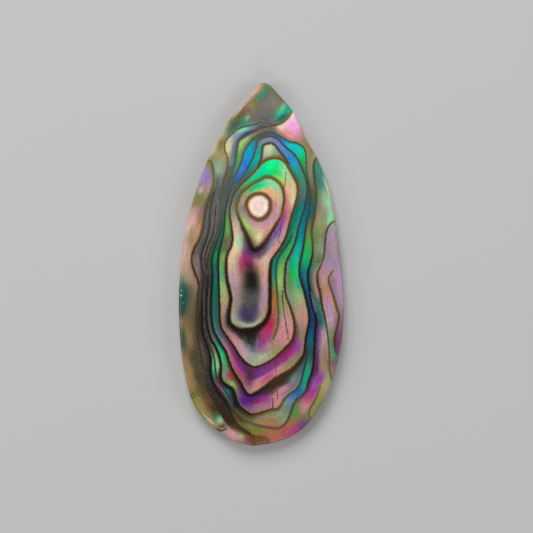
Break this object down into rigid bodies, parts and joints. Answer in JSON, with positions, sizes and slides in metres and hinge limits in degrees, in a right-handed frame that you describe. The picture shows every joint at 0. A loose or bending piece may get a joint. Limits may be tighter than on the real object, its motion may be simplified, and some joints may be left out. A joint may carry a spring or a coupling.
{
  "type": "abalone shell cabochon",
  "caption": "Pear-shaped slice of polished abalone shell with a flat ground back, a rounded edge and a low crowned front that shows its nested growth lines.",
  "frame": {"origin": "middle of the outline's box, on the flat ground back", "axes": "+Y towards the point of the pear, +Z out of the polished front, +X to the right as the front is looked at with its point up"},
  "size_m": [0.0228, 0.05, 0.0026],
  "materials": {
    "polished_shell": "polished nacre, glossy, iridescent green, pink, blue and violet bands between dark growth lines"
  },
  "bodies": {
    "root": {"shell_slice": "polished_shell"}
  },
  "joints": []
}
